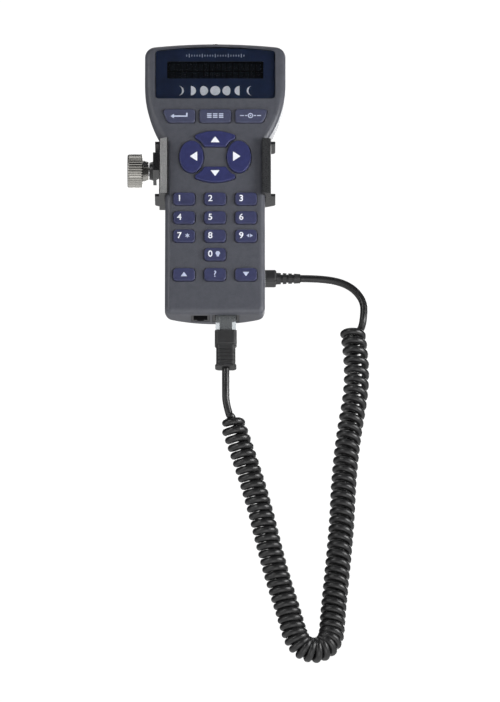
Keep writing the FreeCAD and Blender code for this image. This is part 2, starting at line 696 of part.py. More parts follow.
def bore_space():
    """Space that the handle bar passes through on its way to its seat."""
    hook = math.radians(HOOK_ANGLE)
    ramp = math.radians(-RAMP_ANGLE)
    ramp_x = BAR_R * math.cos(ramp)
    ramp_y = BAR_R * math.sin(ramp)
    climb = (ramp_x - MOUTH_X) * math.tan(math.radians(90 - HOOK_ANGLE))
    corners = [V(0, 0, 0), V(ramp_x, ramp_y, 0), V(MOUTH_X, ramp_y + climb, 0), V(MOUTH_X, 30, 0),
               V(BAR_R * math.cos(hook), 30, 0), V(BAR_R * math.cos(hook), BAR_R * math.sin(hook), 0)]
    edges = [line(corners[index], corners[(index + 1) % 6]) for index in range(6)]
    mouth = Part.Face(Part.Wire(edges)).extrude(V(0, 0, 2 * CLAMP_HALF + 4))
    mouth.translate(V(0, 0, -CLAMP_HALF - 2))
    return rod(BAR_R, (0, 0, -CLAMP_HALF - 2), (0, 0, CLAMP_HALF + 2)).fuse(mouth)


def clamp_hook():
    """Hook round the handle bar with a screw boss on one side and a plate for the cradle."""
    half = CLAMP_HALF
    body = rod(CLAMP_OUTER, (0, 0, -half), (0, 0, half))
    body = body.fuse(box(SCREW_SIDE_X, CLAMP_OUTER, PAD_REAR_Y, 0, -half, half))
    body = body.fuse(box(SCREW_SIDE_X, MOUTH_X, -1, 8.5, -half, half))
    body = body.cut(box(-30, SCREW_SIDE_X, -30, 30, -30, 30))
    for z0, z1 in ((NECK_HALF, 30), (-30, -NECK_HALF)):
        body = body.cut(box(-30, ARM_OUT_X, -30, 30, z0, z1))
    body = body.fuse(cone(NECK_HALF, 4.9, (SCREW_SIDE_X, 0, 0), (BOSS_END_X, 0, 0)))
    foot = CRADLE_LOW + 1.5
    plate = box(ARM_OUT_X, 35.0, PAD_REAR_Y, PAD_REAR_Y + 3.2, foot, half)
    plate = plate.makeFillet(4.0, edges_along_y(plate, ((35.0, half), (35.0, foot), (ARM_OUT_X, foot))))
    body = body.fuse(plate)
    body = body.cut(bore_space())
    body = body.cut(rod(PAD_R + 0.4, (SCREW_SIDE_X + 0.1, 0, 0), (-4, 0, 0)))
    body = body.cut(rod(INSERT_R, (BOSS_END_X - 1, 0, 0), (-4, 0, 0)))
    for x, z in HOLDER_SCREWS:
        body = body.cut(rod(HOLDER_SCREW_R + SCREW_SLACK, (x, -30, z), (x, -10, z)))
    return body.removeSplitter()


def holder_screws():
    """Two screws that join the clamp to the cradle."""
    seat = PAD_REAR_Y + 3.2
    screws = []
    for x, z in HOLDER_SCREWS:
        head = rod(3.0, (x, seat, z), (x, seat + 2.2, z))
        screw = rod(HOLDER_SCREW_R, (x, -18.4, z), (x, seat, z)).fuse(head)
        screws.append(screw.cut(box(x - 2.2, x + 2.2, seat + 1.2, seat + 3, z - 0.4, z + 0.4)))
    return group(screws)


def clamp_insert():
    """Threaded bush pressed into the screw boss."""
    bush = rod(INSERT_R, (BOSS_END_X, 0, 0), (SCREW_SIDE_X + 0.1, 0, 0))
    return bush.cut(rod(SCREW_R + SPIN_SLACK, (BOSS_END_X - 1, 0, 0), (-10, 0, 0)))


def clamp_pad():
    """Round pad that the thumb screw presses on the handle bar."""
    face_x = -BAR_R - 0.05
    return rod(PAD_R, (face_x - PAD_THICK, 0, 0), (face_x, 0, 0))


def thumb_screw():
    """Plain shank of the thumb screw."""
    tip_x = -BAR_R - 0.1 - PAD_THICK
    return rod(SCREW_R, (KNOB_X - 6.0, 0, 0), (tip_x, 0, 0))


def clamp_knob():
    """Fluted knob with a collar and a dished end."""
    end_x = KNOB_X - KNOB_LENGTH
    knob = rod(KNOB_R, (end_x, 0, 0), (KNOB_X - 3.2, 0, 0))
    knob = knob.makeFillet(1.2, [edge for edge in knob.Edges if edge.BoundBox.XLength < 0.01])
    flutes = []
    for index in range(KNOB_FLUTES):
        angle = 2 * math.pi * index / KNOB_FLUTES
        y = (KNOB_R + FLUTE_R / 3) * math.cos(angle)
        z = (KNOB_R + FLUTE_R / 3) * math.sin(angle)
        flutes.append(rod(FLUTE_R, (end_x - 1, y, z), (KNOB_X - 2, y, z)))
    knob = knob.cut(flutes)
    knob = knob.cut(cone(7.0, 5.6, (end_x - 0.01, 0, 0), (end_x + 0.9, 0, 0)))
    knob = knob.fuse(cone(5.2, 6.4, (KNOB_X, 0, 0), (KNOB_X - 3.3, 0, 0)))
    return knob.cut(rod(SCREW_R, (KNOB_X - 6.0, 0, 0), (KNOB_X + 1, 0, 0)))


# ---- cord ----
def plug_parts():
    """Plug body, blades and latch, nose up along +Z, centred on the body at z = 0 (its tail)."""
    width, depth, length = PLUG
    body = box(-width / 2, width / 2, 0, depth, 0, length)
    corners = ((-width / 2, length), (width / 2, length))
    body = body.makeFillet(1.0, edges_along_y(body, corners))
    blades = []
    for index in range(8):
        x = (index - 3.5) * 1.02
        slot = box(x - 0.2, x + 0.2, -1, 2.4, length - 7.5, length - 1.0)
        body = body.cut(slot)
        blades.append(box(x - 0.15, x + 0.15, 0.1, 2.3, length - 7.4, length - 1.4))
    latch_root = length - 3.0
    side = [V(0, depth, latch_root), V(0, depth + 0.9, latch_root), V(0, depth + 2.3, 6.5),
            V(0, depth + 2.3, 1.0), V(0, depth + 1.4, 1.0), V(0, depth + 1.4, 6.3)]
    edges = [line(side[index], side[(index + 1) % 6]) for index in range(6)]
    latch = Part.Face(Part.Wire(edges)).extrude(V(6.0, 0, 0))
    latch.translate(V(-3.0, 0.12, 0))
    return body, group(blades), latch


def place_handset_plug(shape):
    """Put a plug piece into the coil-cord socket."""
    placed = shape.copy()
    placed.translate(V(HANDSET_X + COIL_JACK["x"], FACE_Y + PLUG_DEEP, LOWER_END_Z - PLUG_OUT))
    return placed


def place_far_plug(shape):
    """Turn a plug piece to point along -X, latch down, at the cord's far end."""
    placed = shape.copy()
    placed.translate(V(0, -PLUG[1] / 2, 0))
    placed.rotate(V(0, 0, 0), Z_AXIS, 180)
    placed.rotate(V(0, 0, 0), Y_AXIS, -90)
    placed.rotate(V(0, 0, 0), X_AXIS, 90)
    placed.translate(V(FAR_PLUG_TIP_X + PLUG[2], FAR_PLUG_Y, FAR_PLUG_Z))
    return placed


def soft_block(width, depth, x, y, z0, z1, radius):
    """Upright block with rounded corners, centred on (x, y)."""
    block = box(x - width / 2, x + width / 2, y - depth / 2, y + depth / 2, z0, z1)
    upright = [edge for edge in block.Edges if abs(edge.BoundBox.ZLength - (z1 - z0)) < 0.01]
    return block.makeFillet(radius, upright)


def handset_boot():
    """Rubber strain relief under the handset's plug: head, grooved grip and a rim at its foot."""
    x, y, foot = LEAD_ROUTE[0]
    top = foot + BOOT_LENGTH
    waist = top - 8.6
    head = soft_block(12.6, 8.6, x, y, waist, top, 2.2)
    head = head.makeFillet(0.8, [edge for edge in head.Edges if edge.BoundBox.ZMax < waist + 0.01])
    boot = head.fuse(soft_block(11.0, 7.4, x, y, foot, waist + 1, 2.2))
    rim = soft_block(12.2, 8.4, x, y, foot, foot + 1.5, 2.4)
    boot = boot.fuse(rim.makeFillet(0.5, [edge for edge in rim.Edges if edge.BoundBox.ZLength < 0.01]))
    core = soft_block(10.2, 6.6, x, y, foot - 1, top + 1, 1.9)
    for index in range(4):
        z = foot + 3.2 + 2.2 * index
        boot = boot.cut(box(x - 9, x + 9, y - 9, y + 9, z, z + 0.9).cut(core))
    return boot.removeSplitter()


def far_boot():
    """Strain relief behind the far plug: a flat block that turns into a ringed cone."""
    x = FAR_PLUG_TIP_X + PLUG[2]
    y, z = FAR_PLUG_Y, FAR_PLUG_Z
    block = box(x, x + 6.4, y - 6.2, y + 6.2, z - 3.7, z + 3.7)
    along = [edge for edge in block.Edges if edge.BoundBox.XLength > 6]
    block = block.makeFillet(2.2, along)
    rear = [edge for edge in block.Edges if edge.BoundBox.XMin > x + 6.3]
    boot = block.makeFillet(1.2, rear).fuse(cone(3.5, 2.7, (x + 5, y, z), (x + FAR_BOOT_LENGTH, y, z)))
    for index in range(3):
        start = x + 9.0 + 3.2 * index
        ring = rod(8, (start, y, z), (start + 1.1, y, z))
        boot = boot.cut(ring.cut(rod(2.35, (start - 1, y, z), (start + 2, y, z))))
    return boot.removeSplitter()


def tube(name, route, radius):
    """Round tube along straight runs joined by tangent arcs; prints the arcs' radii."""
    points = [V(*point) for point in route]
    edges = []
    radii = []
    start = points[0]
    for before, corner, after in zip(points, points[1:], points[2:]):
        inward = (corner - before).normalize()
        outward = (after - corner).normalize()
        half_turn = inward.getAngle(outward) / 2
        reach = 0.45 * min((corner - before).Length, (after - corner).Length)
        bend = reach / math.tan(half_turn)
        radii.append(round(bend, 1))
        enter = corner - inward * reach
        leave = corner + outward * reach
        towards = (outward - inward).normalize()
        middle = corner + towards * (bend / math.cos(half_turn) - bend)
        edges.append(line(start, enter))
        edges.append(arc(enter, middle, leave))
        start = leave
    edges.append(line(start, points[-1]))
    path = Part.Wire(edges)
    profile = Part.Wire([Part.makeCircle(radius, points[0], points[1] - points[0])])
    solid = path.makePipeShell([profile], True, False)
    print(name, "arc radii", radii, "length", round(path.Length, 1), "volume / section x length",
          round(solid.Volume / (math.pi * radius ** 2 * path.Length), 4))
    return solid


# ---- every node ----
def build():
    """All nodes by name, in the row frame."""
    nodes = {"front_housing": in_row(front_housing()), "rear_housing": in_row(rear_housing()),
             "display_window": in_row(display_window()), "lcd_bezel": in_row(lcd_bezel()),
             "lcd_glass": in_row(box(-31.0, 31.0, 3.7, 5.0, 139.5, 161.0)),
             "lcd_backlight": in_row(box(-30.0, 30.0, 5.05, LCD_BOARD_FRONT, 139.5, 160.5)),
             "lcd_board": in_row(box(-33.0, 33.0, LCD_BOARD_FRONT, PARTING, 132.3, 162.1)),
             "lcd_header": in_row(lcd_header()), "keypad_mat": in_row(keypad_mat()),
             "main_board": in_row(main_board()), "circuit_chips": in_row(circuit_chips()),
             "coil_cord_jack": in_row(jack(COIL_JACK)), "serial_jack": in_row(jack(SERIAL_JACK)),
             "coil_cord_contacts": in_row(jack_contacts(COIL_JACK)),
             "serial_contacts": in_row(jack_contacts(SERIAL_JACK)),
             "speaker": in_row(speaker()),
             "speaker_magnet": in_row(rod(5.0, (0, 11.4, 58), (0, 13.6, 58))),
             "utility_light": in_row(utility_light()), "utility_lens": in_row(utility_lens()),
             "case_screws": in_row(case_screws()), "board_screws": in_row(board_screws())}
    for name in FUNCTION_KEYS + ARROW_KEYS + tuple(NUMBER_KEYS):
        nodes[name] = in_row(key(name))
    nodes.update({"cradle": cradle(), "clamp_hook": clamp_hook(), "holder_screws": holder_screws(),
                  "clamp_insert": clamp_insert(), "clamp_pad": clamp_pad(),
                  "thumb_screw": thumb_screw(), "clamp_knob": clamp_knob()})
    for end, place in (("handset", place_handset_plug), ("far", place_far_plug)):
        for piece, shape in zip(("plug", "plug_blades", "plug_latch"), plug_parts()):
            nodes[end + "_" + piece] = place(shape)
    nodes.update({"handset_boot": handset_boot(), "far_boot": far_boot(),
                  "cord_lead": tube("cord_lead", LEAD_ROUTE, CABLE_R),
                  "cord_coil": tube("cord_coil", COIL_ROUTE, COIL_R),
                  "cord_far_lead": tube("cord_far_lead", FAR_ROUTE, CABLE_R)})
    return nodes


def save(nodes):
    """Write one STEP file for each node."""
    os.makedirs("parts", exist_ok=True)
    for name, shape in nodes.items():
        shape.exportStep("parts/" + name + ".step")


save(build())
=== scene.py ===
import json
import math

import bmesh
import bpy
import numpy as np
from mathutils import Matrix, Vector


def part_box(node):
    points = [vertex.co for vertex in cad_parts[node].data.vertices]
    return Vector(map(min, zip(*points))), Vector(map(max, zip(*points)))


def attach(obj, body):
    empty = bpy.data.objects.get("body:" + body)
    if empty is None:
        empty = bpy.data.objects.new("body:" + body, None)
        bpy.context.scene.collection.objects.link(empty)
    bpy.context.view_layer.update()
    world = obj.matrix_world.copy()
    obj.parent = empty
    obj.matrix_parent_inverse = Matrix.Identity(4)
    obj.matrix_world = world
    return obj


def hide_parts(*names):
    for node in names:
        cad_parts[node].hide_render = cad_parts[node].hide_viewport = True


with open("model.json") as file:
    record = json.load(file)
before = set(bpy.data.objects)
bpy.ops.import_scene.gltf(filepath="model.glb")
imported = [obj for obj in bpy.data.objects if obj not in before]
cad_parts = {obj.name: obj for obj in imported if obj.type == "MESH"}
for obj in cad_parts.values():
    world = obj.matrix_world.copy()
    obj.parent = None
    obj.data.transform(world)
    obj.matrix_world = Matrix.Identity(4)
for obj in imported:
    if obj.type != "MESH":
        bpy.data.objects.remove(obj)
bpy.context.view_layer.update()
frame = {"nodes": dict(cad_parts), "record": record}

# A telescope's hand controller in its clip-on holder, with its coiled cord.  Metres, in the frame
# of the CAD model: +Z up along the handset, the keys and the display facing -Y.
MM = 0.001

# ---- places, read from the frame ----
FACE_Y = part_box("front_housing")[0].y          # front of the handset's face
PANE_LOW, PANE_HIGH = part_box("display_window")
KEY_TOP_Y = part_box("key_5")[0].y               # front of the key caps
LCD_FRONT_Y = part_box("lcd_glass")[0].y
MIDDLE_X = (PANE_LOW.x + PANE_HIGH.x) / 2

# ---- cord ----
CABLE_D = 4.3 * MM
COIL_TUBE_R = 7.4 * MM
HELIX_R = COIL_TUBE_R - CABLE_D / 2
CABLE_SIDES = 14
POINTS_A_TURN = 36
LEAD_ROUTE = (
    (0.0282, -0.03125, -0.1332),
    (0.0282, -0.03125, -0.1445),
    (0.0283, -0.02875, -0.1546),
    (0.0316, -0.0274, -0.1640),
)
COIL_ROUTE = (
    (0.0316, -0.0274, -0.1640),
    (0.03876, -0.02447, -0.1844),
    (0.0468, -0.0204, -0.2100),
    (0.0530, -0.0166, -0.2360),
    (0.0584, -0.0135, -0.2560),
    (0.0642, -0.0112, -0.2740),
    (0.0690, -0.0094, -0.2920),
    (0.0791, -0.0082, -0.2960),
    (0.0880, -0.0070, -0.2900),
    (0.0890, -0.0061, -0.2730),
    (0.0916, -0.0039, -0.2470),
    (0.0943, -0.0010, -0.2170),
    (0.0957, 0.0018, -0.1870),
    (0.0986, 0.0044, -0.1600),
    (0.1032, 0.0069, -0.1330),
    (0.1033, 0.0087, -0.1120),
    (0.1010, 0.0100, -0.0950),
)
FAR_ROUTE = (
    (0.10625, 0.0101, -0.09365),
    (0.1078, 0.0107, -0.0852),
    (0.1074, 0.0113, -0.0752),
    (0.0992, 0.0118, -0.0659),
    (0.0850, 0.0120, -0.0620),
    (0.0710, 0.0120, -0.0620),
)
# Pitch of the coil's turns at shares of its length: loose at the top, pressed together low down.
PITCHES = ((0.0, 5.2), (0.05, 4.7), (0.16, 4.55), (0.28, 4.4), (0.355, 4.2), (0.385, 3.4), (0.445, 3.4),
           (0.475, 4.5), (0.53, 5.0), (0.60, 5.2), (0.80, 5.5), (0.90, 6.3), (0.96, 6.2), (1.0, 4.9))
RAMP_BEFORE = 4.5 * MM                         # the helix starts to open this far above the coil
RAMP = 7.0 * MM

# ---- legends ----
INK_PROUD = 0.03 * MM
INK_SUNK = 0.02 * MM
DIGIT_SIZE = 5.3 * MM
DIGIT_LEFT = 2.7 * MM


# ---- camera, light and floor ----
CAMERA_TARGET = Vector((0.042, -0.010, -0.1148))
CAMERA_BELOW = math.radians(20.5)              # the camera looks up at the face by this much
CAMERA_DISTANCE = 5.0
FRAME_HEIGHT = 0.402                           # what the long side of the picture takes in


def make_camera():
    data = bpy.data.cameras.new("camera")
    data.lens = data.sensor_width * CAMERA_DISTANCE / FRAME_HEIGHT
    data.clip_start = 0.1
    data.clip_end = 60.0
    camera = bpy.data.objects.new("camera", data)
    bpy.context.scene.collection.objects.link(camera)
    forward = Vector((0, math.cos(CAMERA_BELOW), math.sin(CAMERA_BELOW)))
    camera.location = CAMERA_TARGET - forward * CAMERA_DISTANCE
    camera.rotation_euler = forward.to_track_quat("-Z", "Y").to_euler()
    bpy.context.scene.camera = camera


def make_softbox(name, place, size, power):
    """Square area light that looks at the middle of the object."""
    data = bpy.data.lights.new(name, "AREA")
    data.size = size
    data.energy = power
    light = bpy.data.objects.new(name, data)
    bpy.context.scene.collection.objects.link(light)
    light.location = place
    light.rotation_euler = (CAMERA_TARGET - light.location).to_track_quat("-Z", "Y").to_euler()


def make_world():
    """White behind the object, and a soft surround that is lighter below than above."""
    world = bpy.data.worlds.new("studio")
    bpy.context.scene.world = world
    world.use_nodes = True
    nodes, links = world.node_tree.nodes, world.node_tree.links
    nodes.clear()
    where = nodes.new("ShaderNodeTexCoord")
    split = nodes.new("ShaderNodeSeparateXYZ")
    ramp = nodes.new("ShaderNodeValToRGB")
    ramp.color_ramp.elements[0].position = 0.30
    ramp.color_ramp.elements[0].color = (0.80, 0.80, 0.80, 1)
    ramp.color_ramp.elements[1].position = 0.62
    ramp.color_ramp.elements[1].color = (0.032, 0.033, 0.037, 1)
    spread = nodes.new("ShaderNodeMapRange")
    spread.inputs["From Min"].default_value = -1.0
    surround = nodes.new("ShaderNodeBackground")
    backdrop = nodes.new("ShaderNodeBackground")
    backdrop.inputs["Color"].default_value = (1, 1, 1, 1)
    backdrop.inputs["Strength"].default_value = 1.05
    rays = nodes.new("ShaderNodeLightPath")
    mix = nodes.new("ShaderNodeMixShader")
    out = nodes.new("ShaderNodeOutputWorld")
    links.new(where.outputs["Generated"], split.inputs[0])
    links.new(split.outputs["Z"], spread.inputs["Value"])
    links.new(spread.outputs["Result"], ramp.inputs["Fac"])
    links.new(ramp.outputs["Color"], surround.inputs["Color"])
    links.new(rays.outputs["Is Camera Ray"], mix.inputs["Fac"])
    links.new(surround.outputs[0], mix.inputs[1])
    links.new(backdrop.outputs[0], mix.inputs[2])
    links.new(mix.outputs[0], out.inputs["Surface"])


def make_studio():
    make_camera()
    make_world()
    make_softbox("softbox_right", (2.1, -1.1, -0.2), 1.2, 14)
    make_softbox("softbox_near", (0.44, -0.25, -0.10), 0.26, 1.8)
    make_softbox("softbox_left", (-1.9, -0.9, -0.2), 1.2, 7)
    make_softbox("softbox_lip", (-1.24, -1.52, 0.70), 0.36, 8.5)
    make_softbox("softbox_low", (0.2, -1.2, -1.7), 1.2, 6)
    make_softbox("softbox_top", (-0.2, 0.1, 1.8), 1.0, 6)
    make_softbox("softbox_behind", (0.6, 2.3, 0.9), 1.6, 46)
    floor = bpy.data.objects.new("floor", bpy.data.meshes.new("floor"))
    half, level = 12.0, -2.4
    floor.data.from_pydata([(-half, -half, level), (half, -half, level), (half, half, level),
                            (-half, half, level)], [], [(0, 1, 2, 3)])
    bpy.context.scene.collection.objects.link(floor)
    floor.data.materials.append(surface("floor_paper", (0.85, 0.85, 0.85), 0.9, 0.05, 0.0002, 0.01,
                                        Emission_Color=(1, 1, 1, 1), Emission_Strength=0.62))
    bpy.context.scene.view_settings.view_transform = "Standard"


# ---- materials ----
def new_material(name):
    material = bpy.data.materials.new(name)
    material.use_nodes = True
    nodes = material.node_tree.nodes
    return material, nodes, material.node_tree.links, nodes["Principled BSDF"]


def noise(nodes, links, scale, detail=4.0, stretch=(1, 1, 1)):
    """Noise over the object's own coordinates; scale is features a metre."""
    where = nodes.new("ShaderNodeTexCoord")
    mapping = nodes.new("ShaderNodeMapping")
    mapping.inputs["Scale"].default_value = stretch
    texture = nodes.new("ShaderNodeTexNoise")
    texture.inputs["Scale"].default_value = scale
    texture.inputs["Detail"].default_value = detail
    links.new(where.outputs["Object"], mapping.inputs["Vector"])
    links.new(mapping.outputs["Vector"], texture.inputs["Vector"])
    return texture.outputs["Fac"]


def vary_colour(nodes, links, shader, source, colour, amount):
    """Base colour that wanders round one colour."""
    ramp = nodes.new("ShaderNodeValToRGB")
    low, high = ramp.color_ramp.elements
    low.position, high.position = 0.32, 0.68
    low.color = (*[c * (1 - amount) for c in colour], 1)
    high.color = (*[min(1.0, c * (1 + amount)) for c in colour], 1)
    links.new(source, ramp.inputs["Fac"])
    links.new(ramp.outputs["Color"], shader.inputs["Base Color"])


def vary_roughness(nodes, links, shader, source, roughness, spread):
    span = nodes.new("ShaderNodeMapRange")
    span.inputs["From Min"].default_value = 0.3
    span.inputs["From Max"].default_value = 0.7
    span.inputs["To Min"].default_value = max(0.02, roughness - spread)
    span.inputs["To Max"].default_value = min(1.0, roughness + spread)
    links.new(source, span.inputs["Value"])
    links.new(span.outputs["Result"], shader.inputs["Roughness"])


def add_bump(nodes, links, shader, source, depth, strength=0.6):
    bump = nodes.new("ShaderNodeBump")
    bump.inputs["Distance"].default_value = depth
    bump.inputs["Strength"].default_value = strength
    links.new(source, bump.inputs["Height"])
    links.new(bump.outputs["Normal"], shader.inputs["Normal"])


def surface(name, colour, roughness, grain, depth, mottle=0.10, spread=0.06, stretch=(1, 1, 1), **fixed):
    """Moulded or metal surface: grain is its texture's size and depth its relief, in metres."""
    material, nodes, links, shader = new_material(name)
    broad = noise(nodes, links, 0.12 / grain, 3.0, stretch)
    fine = noise(nodes, links, 1.0 / grain, 5.0, stretch)
    vary_colour(nodes, links, shader, broad, colour, mottle)
    vary_roughness(nodes, links, shader, fine, roughness, spread)
    add_bump(nodes, links, shader, fine, depth)
    for socket, value in fixed.items():
        shader.inputs[socket.replace("_", " ")].default_value = value
    return material


def speckled(name, colour, speck, roughness, grain, depth, **fixed):
    """Spark-eroded plastic: a fine pebbled relief with faint lighter specks."""
    material = surface(name, colour, roughness, grain, depth, 0.08, 0.07, **fixed)
    nodes, links = material.node_tree.nodes, material.node_tree.links
    shader = nodes["Principled BSDF"]
    plain = shader.inputs["Base Color"].links[0].from_socket
    cells = nodes.new("ShaderNodeTexVoronoi")
    cells.inputs["Scale"].default_value = 0.5 / grain
    where = nodes.new("ShaderNodeTexCoord")
    ramp = nodes.new("ShaderNodeValToRGB")
    low, high = ramp.color_ramp.elements
    low.position, low.color = 0.08, (1, 1, 1, 1)
    high.position, high.color = 0.34, (0, 0, 0, 1)
    mix = nodes.new("ShaderNodeMix")
    mix.data_type = "RGBA"
    links.new(where.outputs["Object"], cells.inputs["Vector"])
    links.new(cells.outputs["Distance"], ramp.inputs["Fac"])
    links.new(ramp.outputs["Color"], mix.inputs["Factor"])
    links.new(plain, mix.inputs[6])
    mix.inputs[7].default_value = (*speck, 1)
    links.new(mix.outputs[2], shader.inputs["Base Color"])
    return material


def clear(name, colour, roughness, ior, clarity=1.0):
    """Clear moulded plastic with faint flow marks; clarity below 1 greys it, used as painted shade for dark
    things seen through it.
    """
    return surface(name, colour, roughness, 3 * MM, 0.01 * MM, 0.02, 0.02,
                   Transmission_Weight=clarity, IOR=ior)


WIRE_COLOURS = (("blue", (0.03, 0.07, 0.32)), ("orange", (0.60, 0.16, 0.02)), ("black", (0.01, 0.01, 0.01)),
                ("red", (0.42, 0.02, 0.02)), ("green", (0.02, 0.18, 0.05)), ("yellow", (0.60, 0.42, 0.04)),
                ("brown", (0.10, 0.035, 0.015)), ("grey", (0.20, 0.20, 0.21)))


def make_materials():
    return {
        "housing": speckled("housing_plastic", (0.072, 0.075, 0.090), (0.092, 0.096, 0.114), 0.44,
                            0.35 * MM, 0.018 * MM, Specular_IOR_Level=0.42),
        "key_rubber": surface("key_silicone", (0.030, 0.034, 0.093), 0.50, 0.22 * MM, 0.006 * MM,
                              0.12, 0.08, Sheen_Weight=0.12, Sheen_Roughness=0.4),
        "arrow_rubber": surface("arrow_silicone", (0.021, 0.025, 0.104), 0.46, 0.22 * MM, 0.006 * MM,
                                0.12, 0.08, Sheen_Weight=0.10, Sheen_Roughness=0.4),
        "function_key": surface("function_silicone", (0.047, 0.052, 0.100), 0.50, 0.22 * MM,
                                0.006 * MM, 0.10, 0.08, Sheen_Weight=0.12, Sheen_Roughness=0.4),
        "pane": clear("pane_acrylic", (0.93, 0.95, 1.0), 0.04, 1.49),
        "pane_print": surface("pane_print", (0.0095, 0.0215, 0.060), 0.45, 0.6 * MM, 0.002 * MM,
                              Specular_IOR_Level=0.25),
        "lcd": surface("lcd_glass", (0.002, 0.0035, 0.0045), 0.12, 1.5 * MM, 0.001 * MM,
                       Specular_IOR_Level=0.2),
        "lcd_cell": surface("lcd_cell", (0.005, 0.0075, 0.009), 0.25, 0.4 * MM, 0.001 * MM,
                            Specular_IOR_Level=0.2),
        "ink": surface("legend_ink", (0.86, 0.88, 0.92), 0.46, 0.12 * MM, 0.003 * MM, 0.06),
        "ink_dim": surface("legend_ink_dim", (0.38, 0.44, 0.58), 0.46, 0.12 * MM, 0.003 * MM, 0.06),
        "ink_soft": surface("legend_ink_soft", (0.50, 0.55, 0.70), 0.46, 0.12 * MM, 0.003 * MM, 0.06),
        "bezel": surface("bezel_paint", (0.005, 0.005, 0.006), 0.45, 0.5 * MM, 0.006 * MM,
                         Specular_IOR_Level=0.25),
        "backlight": surface("light_guide", (0.45, 0.03, 0.02), 0.25, 1 * MM, 0.002 * MM),
        "board": surface("solder_mask", (0.012, 0.09, 0.035), 0.28, 0.8 * MM, 0.008 * MM, 0.18),
        "header": surface("header_plastic", (0.018, 0.018, 0.018), 0.45, 0.3 * MM, 0.008 * MM),
        "mat": surface("mat_rubber", (0.035, 0.035, 0.045), 0.65, 0.4 * MM, 0.012 * MM),
        "chips": surface("chip_resin", (0.022, 0.022, 0.024), 0.50, 0.25 * MM, 0.008 * MM),
        "socket": surface("socket_plastic", (0.016, 0.016, 0.018), 0.38, 0.3 * MM, 0.006 * MM),
        "contacts": surface("gold_plate", (0.83, 0.60, 0.24), 0.22, 0.5 * MM, 0.004 * MM, 0.05,
                            Metallic=1.0),
        "speaker": surface("speaker_paper", (0.03, 0.03, 0.03), 0.7, 0.3 * MM, 0.02 * MM),
        "magnet": surface("magnet_plate", (0.5, 0.5, 0.5), 0.32, 0.6 * MM, 0.006 * MM, Metallic=1.0),
        "lamp": surface("lamp_red", (0.5, 0.02, 0.02), 0.2, 0.8 * MM, 0.002 * MM),
        "lens": clear("lens_clear", (1.0, 0.92, 0.92), 0.05, 1.49),
        "screws": surface("zinc_screw", (0.42, 0.42, 0.44), 0.34, 0.5 * MM, 0.008 * MM, 0.10,
                          Metallic=1.0),
        "holder_plastic": speckled("holder_plastic", (0.020, 0.0205, 0.022), (0.031, 0.032, 0.034),
                                   0.30, 0.45 * MM, 0.02 * MM, Specular_IOR_Level=0.5),
        "insert": surface("brass_bush", (0.66, 0.46, 0.18), 0.30, 0.4 * MM, 0.008 * MM, Metallic=1.0),
        "pad": surface("pad_rubber", (0.025, 0.025, 0.026), 0.7, 0.4 * MM, 0.02 * MM),
        "thumb_steel": surface("turned_steel", (0.55, 0.55, 0.56), 0.24, 0.3 * MM, 0.006 * MM, 0.06,
                               0.06, (14, 1, 1), Metallic=1.0),
        "knob": surface("nickel_plate", (0.38, 0.37, 0.345), 0.27, 0.7 * MM, 0.008 * MM, 0.08, 0.07,
                        (7, 1, 1), Metallic=1.0),
        # The plug itself is clear: its grey colour and clarity of 0.6 are painted shade for the dark
        # surroundings seen through it.
        "plug_clear": clear("plug_polycarbonate_painted_shade", (0.26, 0.275, 0.285), 0.07, 1.58, 0.6),
        "boot": surface("boot_rubber", (0.021, 0.021, 0.022), 0.50, 0.35 * MM, 0.014 * MM, 0.12,
                        Specular_IOR_Level=0.5),
        "cable": surface("cable_jacket", (0.012, 0.012, 0.0125), 0.34, 0.9 * MM, 0.02 * MM, 0.15,
                         0.08, Specular_IOR_Level=0.5),
        "wire_dark": surface("wire_sheath", (0.02, 0.02, 0.021), 0.45, 0.5 * MM, 0.01 * MM),
        **{"wire_" + name: surface("wire_" + name, colour, 0.4, 0.4 * MM, 0.004 * MM)
           for name, colour in WIRE_COLOURS},
    }


def paint_cad(materials):
    """Give every carried-over CAD node the material of its slot in the record."""
    slots = {part["node"]: part["material_slot"] for part in frame["record"]["subparts"]}
    own = {"window": "pane"}
    for node, item in frame["nodes"].items():
        slot = own.get(slots[node], slots[node])
        if node in ("key_up", "key_down", "key_left", "key_right"):
            slot = "arrow_rubber"
        item.data.materials.clear()
        item.data.materials.append(materials[slot])


# ---- mesh helpers ----
def add_piece(name, mesh, material, body):
    """Put a finished mesh in the scene as a piece that rides on a body."""
    item = bpy.data.objects.new(name, mesh)
    bpy.context.scene.collection.objects.link(item)
    mesh.materials.clear()
    mesh.materials.append(material)
    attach(item, body)
    return item


def close_up(mesh):
    """Join doubled points and set the faces outwards, so that the mesh is closed."""
    work = bmesh.new()
    work.from_mesh(mesh)
    bmesh.ops.remove_doubles(work, verts=work.verts, dist=1e-7)
    bmesh.ops.recalc_face_normals(work, faces=work.faces)
    work.to_mesh(mesh)
    work.free()


def flat_mesh(name, loops, thickness):
    """Flat plate in the XY plane from closed loops of (x, y) points; inner loops are holes."""
    curve = bpy.data.curves.new(name, "CURVE")
    curve.dimensions = "2D"
    curve.fill_mode = "BOTH"
    curve.extrude = thickness / 2
    for loop in loops:
        spline = curve.splines.new("POLY")
        spline.points.add(len(loop) - 1)
        for point, (x, y) in zip(spline.points, loop):
            point.co = (x, y, 0, 1)
        spline.use_cyclic_u = True
    return curve_mesh(name, curve)


def curve_mesh(name, curve):
    """Mesh of a filled curve or text, with the curve itself removed."""
    holder = bpy.data.objects.new(name, curve)
    mesh = bpy.data.meshes.new_from_object(holder)
    bpy.data.objects.remove(holder)
    bpy.data.curves.remove(curve)
    mesh.name = name
    close_up(mesh)
    return mesh


def stand_up(mesh, x, y, z):
    """Turn a flat plate to face -Y and put it at a place."""
    mesh.transform(Matrix.Translation((x, y, z)) @ Matrix.Rotation(math.pi / 2, 4, "X"))
    return mesh


